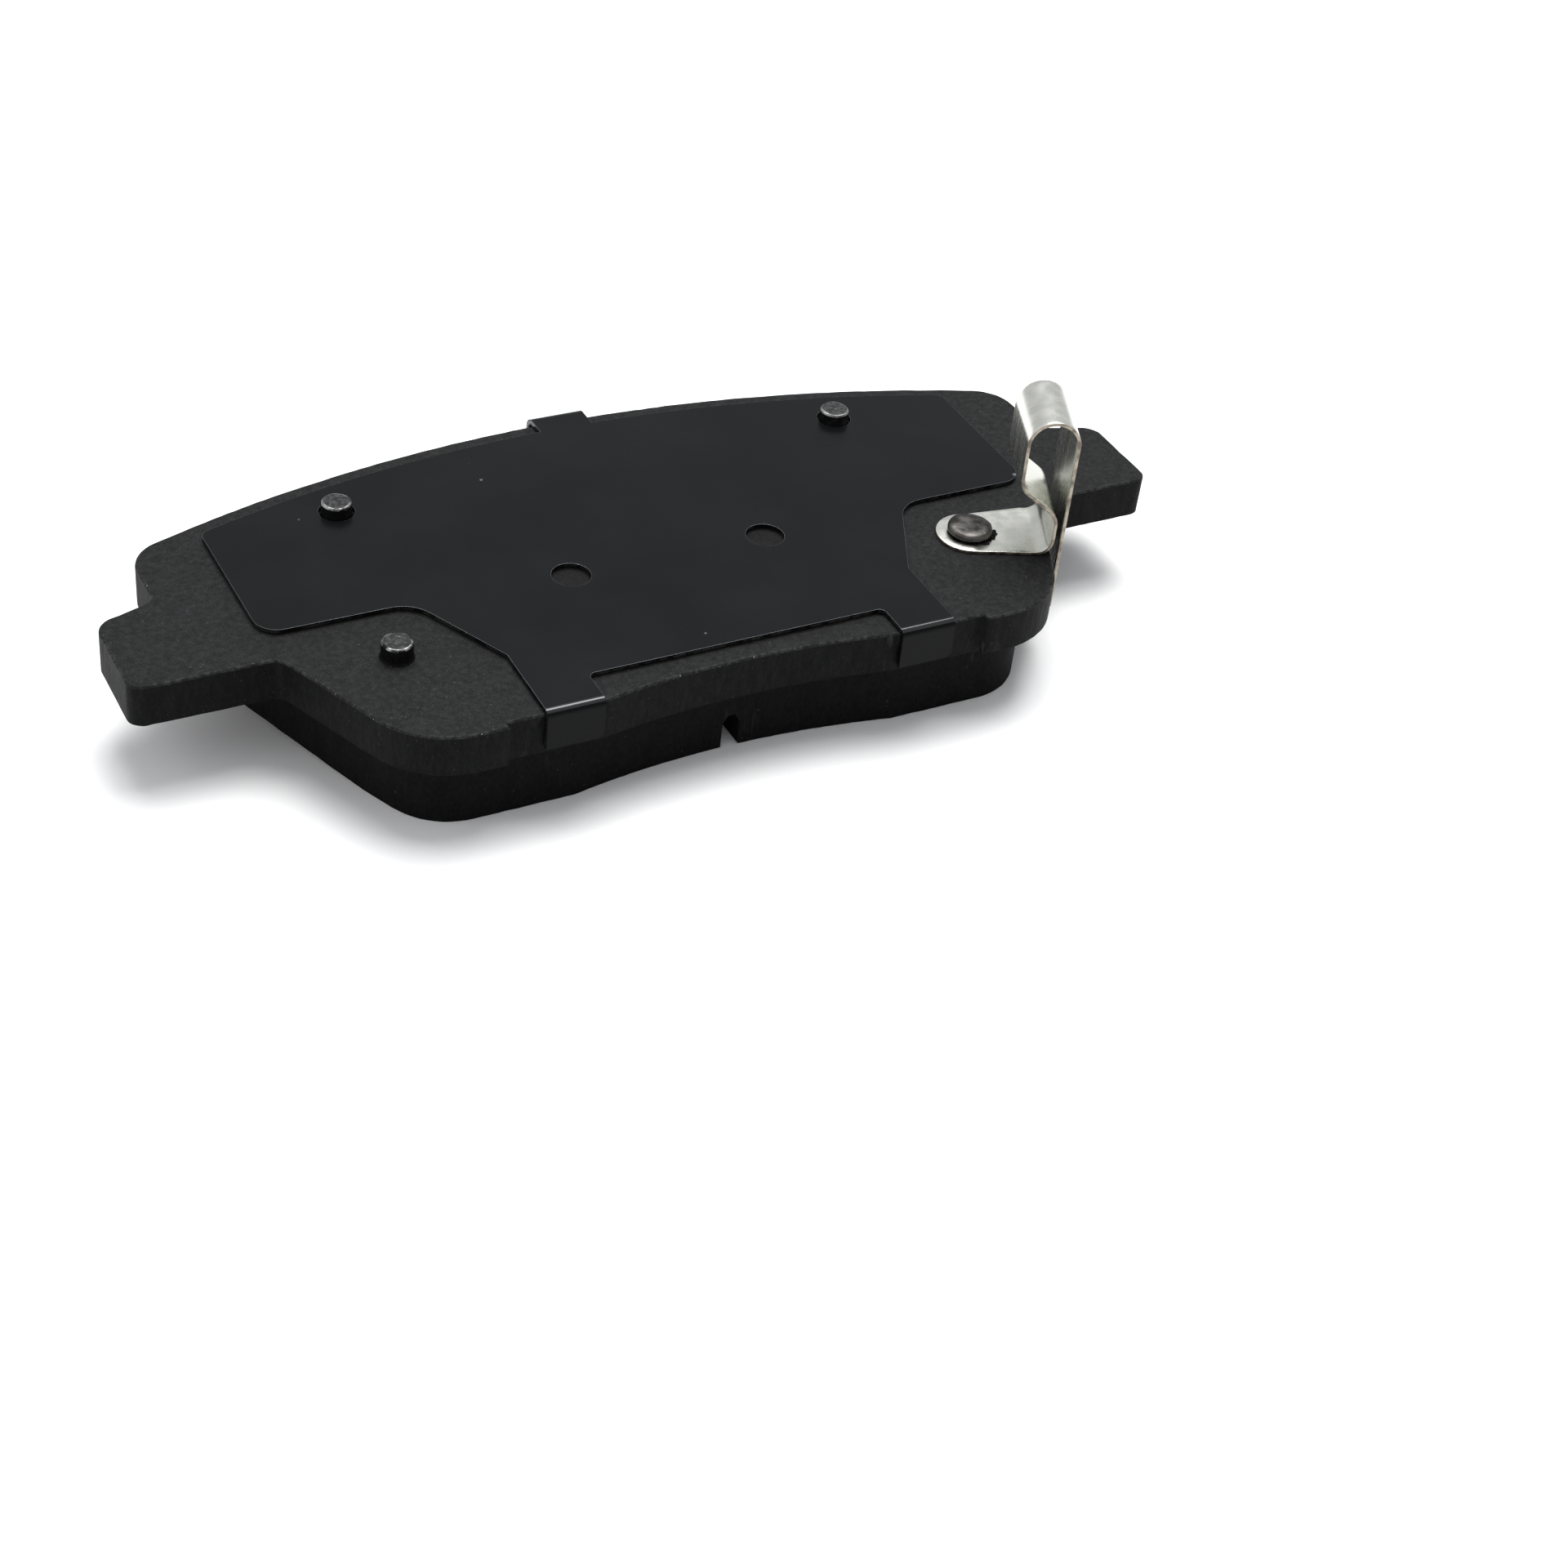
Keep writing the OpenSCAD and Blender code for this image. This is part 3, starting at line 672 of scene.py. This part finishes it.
# %% Plate: round the edges and roughen them
rolled_mm, crisp_mm = 0.34, 0.22
upper_rim = sharp_edges(plate, lambda e: on_outline(e) and middle(e).z > plate_top - mm)
upper_round = round_edges(plate, upper_rim, rolled_mm, 3)
lower_rim = sharp_edges(plate, lambda e: on_outline(e) and middle(e).z < plate_low + mm)
lower_round = round_edges(plate, lower_rim, crisp_mm, 2)
ragged = {v for f in [*upper_round, *lower_round] if f.is_valid for v in f.verts}
for v in ragged:
    v.co += jolt(v.co, 0.9, 0.05) + jolt(v.co, 0.3, 0.04)
keep_inside(ragged)
for face in plate.faces:
    up = abs(face.normal.z)
    face.material_index = 0 if up > 0.97 else 1 if up < 0.2 else 2
bmesh.ops.recalc_face_normals(plate, faces=plate.faces)
make_piece("stamped_plate", plate, [plate_face_coat, coat_with_painted_shade, plate_edge_coat],
           stands_for=["backing_plate"])

# %% [markdown]
# ## Pips
# The pips are pressed out of the plate like short pins. A cylinder with a bevel would be close, but
# the coat lies in a small fillet round each foot. So a pip is turned: half of its outline is drawn as
# a few points and spun once round. Its rim is rubbed to bare steel.

# %% Turned pieces
def turned(outline_mm, centre, turns=40):
    """Spins an outline of (radius, height) points about the upright axis through centre."""
    bm = bmesh.new()
    points = [bm.verts.new((r * mm, 0, h * mm)) for r, h in outline_mm]
    lines = [bm.edges.new(pair) for pair in zip(points, points[1:])]
    bmesh.ops.spin(bm, geom=points + lines, cent=(0, 0, 0), axis=(0, 0, 1), angle=math.tau,
                   steps=turns, use_merge=True, use_duplicate=False)
    bmesh.ops.remove_doubles(bm, verts=bm.verts, dist=0.002 * mm)
    loops = [e for e in bm.edges if e.is_boundary]
    if loops:
        bmesh.ops.holes_fill(bm, edges=loops)
    bmesh.ops.recalc_face_normals(bm, faces=bm.faces)
    bmesh.ops.translate(bm, verts=bm.verts, vec=centre)
    return bm


print("turning kit ready")

# %% Pips
def batter(bm, above, size_mm):
    """Pushes the vertices above a height about a little, as hammering or wear does."""
    for v in bm.verts:
        if v.co.z > above:
            v.co += jolt(v.co, 0.7, size_mm)


pip_high = (pip_top - plate_top) / mm
pip_outline = [
    (0, pip_high - 0.06), (1.2, pip_high - 0.05), (1.78, pip_high - 0.06), (1.93, pip_high - 0.1),
    (2.03, pip_high - 0.2), (2.08, pip_high - 0.36), (pip_r, pip_high - 0.7), (pip_r, 0.5),
    (2.14, 0.2), (2.3, 0.02), (2.3, -0.4),
]
# The pips' sides take the darker copy of the coat, which is painted shade.
for name, (x, y) in pips.items():
    pip = turned(pip_outline, Vector((x * mm, y * mm, plate_top)))
    batter(pip, pip_top - 0.6 * mm, 0.045)
    for face in pip.faces:
        at = face.calc_center_median()
        radius = (at.xy - Vector((x, y)) * mm).length / mm
        on_top = at.z > pip_top - 0.3 * mm
        face.material_index = 0 if not on_top else 2 if radius > 1.6 else 1
    make_piece(name, pip, [coat_with_painted_shade, pip_top_coat, rubbed_steel], weighted=False)

# %% [markdown]
# ## Rivet
# The fourth pip passes through the spring strip and is struck flat to hold it. Striking spreads the
# metal into a wide, slightly domed head and cracks the coat off it. The head could be a squashed
# sphere, but its side tucks in under the dome, so it is turned like the pips and then battered.

# %% Rivet head
head_outline = [
    (0, 1.88), (1.2, 1.92), (2.2, 1.9), (2.78, 1.8), (3.05, 1.6), (3.17, 1.3), (3.12, 0.95),
    (2.8, 0.72), (2.4, 0.56), (pip_r, 0.52), (pip_r, -0.3),
]
head = turned(head_outline, rivet_at, 48)
batter(head, plate_top + 0.8 * mm, 0.1)
# Below 0.9 mm the head takes the darker copy of the coat, which is painted shade.
for face in head.faces:
    face.material_index = 1 if face.calc_center_median().z < plate_top + 0.9 * mm else 0
make_piece("rivet_head", head, [struck_steel, coat_with_painted_shade], weighted=False)

# %% [markdown]
# ### Crumbs of coat
# The blow that forms the head throws crumbs of powder coat onto the strip beside it. A speckled
# texture could stand for them, but they are deep enough to throw shadows. So each is a small
# icosphere, flattened, turned and dented by chance. The seed is fixed, so they fall in the same
# places every time.

# %% Crumbs of coat beside the rivet
strip_t = 0.5
strip_angle = math.radians(-23.1147)
crumb_count = 70
chance = random.Random(11)
crumbs = bmesh.new()
for _ in range(crumb_count):
    bearing = strip_angle + math.radians(chance.triangular(-75, 60, -5))
    radius = chance.triangular(2.9, 3.8, 3.1) * mm
    size = chance.uniform(0.14, 0.4) * mm
    outwards = Vector((math.cos(bearing), math.sin(bearing), 0))
    at = rivet_at + outwards * radius + Vector((0, 0, (strip_t + 0.1) * mm))
    shape = Matrix.Translation(at) @ Matrix.Rotation(chance.uniform(0, math.tau), 4, "Z")
    shape = shape @ Matrix.Diagonal((size, size * chance.uniform(0.5, 1), size * 0.45, 1))
    made = bmesh.ops.create_icosphere(crumbs, subdivisions=1, radius=1, matrix=shape)
    for v in made["verts"]:
        v.co += Vector([chance.uniform(-0.2, 0.2) * size for _ in range(3)])
# The crumbs take the darker copy of the coat, which is painted shade.
make_piece("coat_crumbs", crumbs, [coat_with_painted_shade], weighted=False)

# %% [markdown]
# ## Shim
# The shim is a sheet sandwich: rubber, steel, rubber. One sheet with a striped edge could stand for
# it, but the frame holds all three layers, so each is cut from its own. Shearing leaves the corners
# of the tabs a little round, and the top film's edge is softened and given a pale grey, a painted
# highlight for the thin bright line round it. The top film's faces then take a finish by their
# slope: flat, bent or hanging, and the hanging ones are darker, which is painted shade.

# %% Shim layers
tab_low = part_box("shim_core")[0].z
tab_right_sides = (-21.5, 29.5)
tab_corner_mm, film_edge_mm = 0.9, 0.11


def tab_corner(edge):
    """The short edges through the sheet at the free end of a tab, on its right side."""
    a, b = edge.verts
    low = abs(a.co.z - tab_low) < 0.02 * mm and abs(b.co.z - tab_low) < 0.02 * mm
    right = any(abs(a.co.x - x * mm) < 0.1 * mm for x in tab_right_sides)
    return low and right and abs(a.co.x - b.co.x) < 1e-6


layers = {"shim_inner_rubber": shim_rubber, "shim_core": cut_steel, "shim_outer_rubber": shim_rubber}
for node, finish in layers.items():
    layer = merged_copy(node)
    round_edges(layer, sharp_edges(layer, tab_corner), tab_corner_mm, 4)
    if node == "shim_outer_rubber":
        top_rim = sharp_edges(layer, lambda e: middle(e).z > shim_top - 0.01 * mm)
        # Flat faces take the sheet's film, bent ones the glossy film, and hanging ones the darker film, which
        # is painted shade.
        for face in layer.faces:
            face.material_index = 0 if face.normal.z > 0.97 else 2 if face.normal.z > 0.6 else 3
        # The softened top rim takes the pale film, a painted highlight.
        for face in round_edges(layer, top_rim, film_edge_mm, 2):
            face.material_index = 1
    bmesh.ops.recalc_face_normals(layer, faces=layer.faces)
    make_piece(node.replace("shim", "sheet"), layer, [finish, painted_edge_highlight, bend_film, hanging_film_painted_shade],
               stands_for=[node], sharp=30)

# %% [markdown]
# ## Friction lining
# The lining is one moulded block with a dust slot across its middle and a chamfer across each end.
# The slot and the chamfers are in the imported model, so nothing has to be cut here. The edges crumble
# a little where the block was ground, so its lower rim is split, rounded and roughened as the plate's
# was. Faces are then sorted by where they look: 0 for the ground face, 1 for the chamfers and 2 for
# everything else, which is painted.

# %% Lining block
lining = merged_copy("friction_lining")


def ground_rim(edge):
    """Picks the edges round the ground face and its chamfers."""
    return max(v.co.z for v in edge.verts) < 3.2 * mm


split_edges(lining, ground_rim, step=mm, halvings=4)
rim_faces = round_edges(lining, sharp_edges(lining, ground_rim), 0.18, 2)
for v in {v for f in rim_faces if f.is_valid for v in f.verts}:
    push = jolt(v.co, 0.8, 0.07)
    v.co += Vector((push.x, push.y, abs(push.z)))
for face in lining.faces:
    down = -face.normal.z
    face.material_index = 0 if down > 0.999 else 1 if down > 0.9 else 2
bmesh.ops.recalc_face_normals(lining, faces=lining.faces)
make_piece("moulded_lining", lining, [friction_face, ground_end, lining_paint],
           stands_for=["friction_lining"], sharp=30)

# %% [markdown]
# ## Underlayer and films
# Between the lining and the plate lies a band of a second compound, which also fills the plate's
# moulding holes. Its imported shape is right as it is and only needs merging, so that it shades
# smoothly. The two films of adhesive are too thin to gain from a piece of their own. So the packed
# nodes stay, and only take a finish.

# %% Underlayer and hidden films
under = merged_copy("underlayer")
make_piece("painted_underlayer", under, [underlayer_paint],
           stands_for=["underlayer"], sharp=30)
for node in ("bond_film", "shim_adhesive"):
    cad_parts[node].data.materials.clear()
    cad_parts[node].data.materials.append(adhesive_film)
print("films finished: bond_film and shim_adhesive")

# %% [markdown]
# ## Wear strip
# The wear indicator is one strip of plated spring steel. It starts as a flat foot round the rivet,
# turns up, leans back in an S, goes over an arch and comes down past the plate's edge as a long arm.
# A side view could be drawn and pushed sideways, but the foot is round and wouldn't fit in. So the
# mid-surface is made the way the strip was bent, from the foot onwards, and then given its thickness.
# It is made in millimetres round the rivet, where u is the distance from the rivet towards the arm,
# and it is turned and put in place last.

# %% Strip sizes
strip_w, strip_offset, foot_r, hole_r = 11.4, 1.2, 4.7, 2.15
arm_u, arch_r, arch_h = 12.0675, 3.43, 17.6
bend_back, bend_r, riser_h = 3.5, 2.3, 2.3
s_r, s_turn = 3.0, 52
arm_low = -8.4
bend_u = arm_u - bend_back
s_shift = 2 * s_r * (1 - math.cos(math.radians(s_turn)))
lean = bend_u + bend_r - (arm_u - 2 * arch_r) - s_shift
lean_run = lean / math.sin(math.radians(s_turn))
print("lean of the riser:", round(lean_run, 2), "mm")

# %% [markdown]
# ### The foot
# The foot is a ring round the rivet that widens into the strip. The ring is one edge spun all the way
# round, and bridge_loops joins its near side to a straight front line with as many edges.

# %% Strip: the foot round the rivet
strip = bmesh.new()
ring = [strip.verts.new((hole_r, 0, 0)), strip.verts.new((foot_r, 0, 0))]
bmesh.ops.spin(strip, geom=ring + [strip.edges.new(ring)], cent=(0, 0, 0), axis=(0, 0, 1),
               angle=math.tau, steps=32, use_merge=True, use_duplicate=False)
bmesh.ops.remove_doubles(strip, verts=strip.verts, dist=0.01)
near_arc = [e for e in strip.edges if e.is_boundary and middle(e).length > foot_r - 0.1 and middle(e).x > 0]
flare_u = bend_u - strip_t
front_sides = (strip_offset - strip_w / 2, strip_offset + strip_w / 2)
front_edge = strip.edges.new([strip.verts.new((flare_u, v, 0)) for v in front_sides])
bmesh.ops.subdivide_edges(strip, edges=[front_edge], cuts=len(near_arc) - 1)
front_line = [e for e in strip.edges if not e.link_faces]
bmesh.ops.bridge_loops(strip, edges=near_arc + front_line)
print("foot faces:", len(strip.faces))

# %% [markdown]
# ### Runs and bends
# From the front line on, the strip is only runs and bends, as in a list of bends for a press. `run`
# pushes the end edge straight ahead, and `turn` spins it about a line beside the strip. Both keep
# track of where the end is and which way it heads.

# %% Strip: runs and bends
bmesh.ops.translate(strip, verts=strip.verts, vec=(0, 0, strip_t / 2))
end = [e for e in strip.edges if e.is_boundary and abs(middle(e).x - flare_u) < 0.01]
heading = Vector((1, 0, 0))
at = Vector((flare_u, 0, strip_t / 2))
side = Vector((0, 1, 0))


def run(length):
    """Pushes the end of the strip straight ahead."""
    global end, at
    moved = bmesh.ops.extrude_edge_only(strip, edges=end)["geom"]
    verts = [g for g in moved if isinstance(g, bmesh.types.BMVert)]
    bmesh.ops.translate(strip, verts=verts, vec=heading * length)
    end = [g for g in moved if isinstance(g, bmesh.types.BMEdge) and all(v in verts for v in g.verts)]
    at = at + heading * length


def turn(radius, degrees, steps):
    """Bends the strip: a positive angle turns it from +u towards up."""
    global end, at, heading
    towards = side.cross(heading) * (-1 if degrees > 0 else 1)
    centre = at + towards * radius
    ends = list({v for e in end for v in e.verts})
    spun = bmesh.ops.spin(strip, geom=ends + end, cent=centre, axis=-side, angle=math.radians(degrees),
                          steps=steps, use_merge=False, use_duplicate=False)["geom_last"]
    end = [g for g in spun if isinstance(g, bmesh.types.BMEdge)]
    rotate = Matrix.Rotation(math.radians(degrees), 3, -side)
    at = centre + rotate @ (at - centre)
    heading = rotate @ heading


run(strip_t)
turn(bend_r, 90, 10)
run(riser_h)
turn(s_r, s_turn, 6)
run(lean_run)
turn(s_r, -s_turn, 6)
run(arch_h - at.z)
turn(arch_r, -180, 28)
run(at.z - arm_low)
print("arm ends at u", round(at.x, 3), "height", round(at.z, 3))

# %% [markdown]
# ### Thickness and edges
# Solidify gives the sheet its 0.5 mm, with the cut edges in a finish of their own, and Bevel softens
# them. The frame puts the arm on another body than the foot, but the sheet is left whole and is not
# attached to either.

# %% Strip: thickness and edges
bmesh.ops.recalc_face_normals(strip, faces=strip.faces)
to_frame = Matrix.Translation(rivet_at) @ Matrix.Rotation(strip_angle, 4, "Z") @ Matrix.Scale(mm, 4)
bmesh.ops.transform(strip, matrix=to_frame, verts=strip.verts)
wear_strip = make_piece("wear_strip", strip, [spring_plating, strip_edge], body=None, weighted=False,
                        stands_for=["indicator_clip", "indicator_reed"], sharp=60)
thicken = wear_strip.modifiers.new("sheet", "SOLIDIFY")
thicken.thickness, thicken.offset, thicken.use_even_offset = strip_t * mm, 0, True
thicken.material_offset_rim = 1
soften = wear_strip.modifiers.new("burnished_edges", "BEVEL")
soften.width, soften.segments, soften.limit_method = 0.06 * mm, 2, "ANGLE"
soften.angle_limit = math.radians(50)
applied(wear_strip)
keep_inside(wear_strip.data.vertices)
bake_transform(wear_strip)
print("strip faces:", len(wear_strip.data.polygons))

# %% [markdown]
# ## Size
# The imported model's box is printed, in millimetres. The visual model has to stay inside the imported
# model's box.

# %% Size of the imported model
print("cad", [tuple(round(x / mm, 2) for x in c) for c in cad_box])
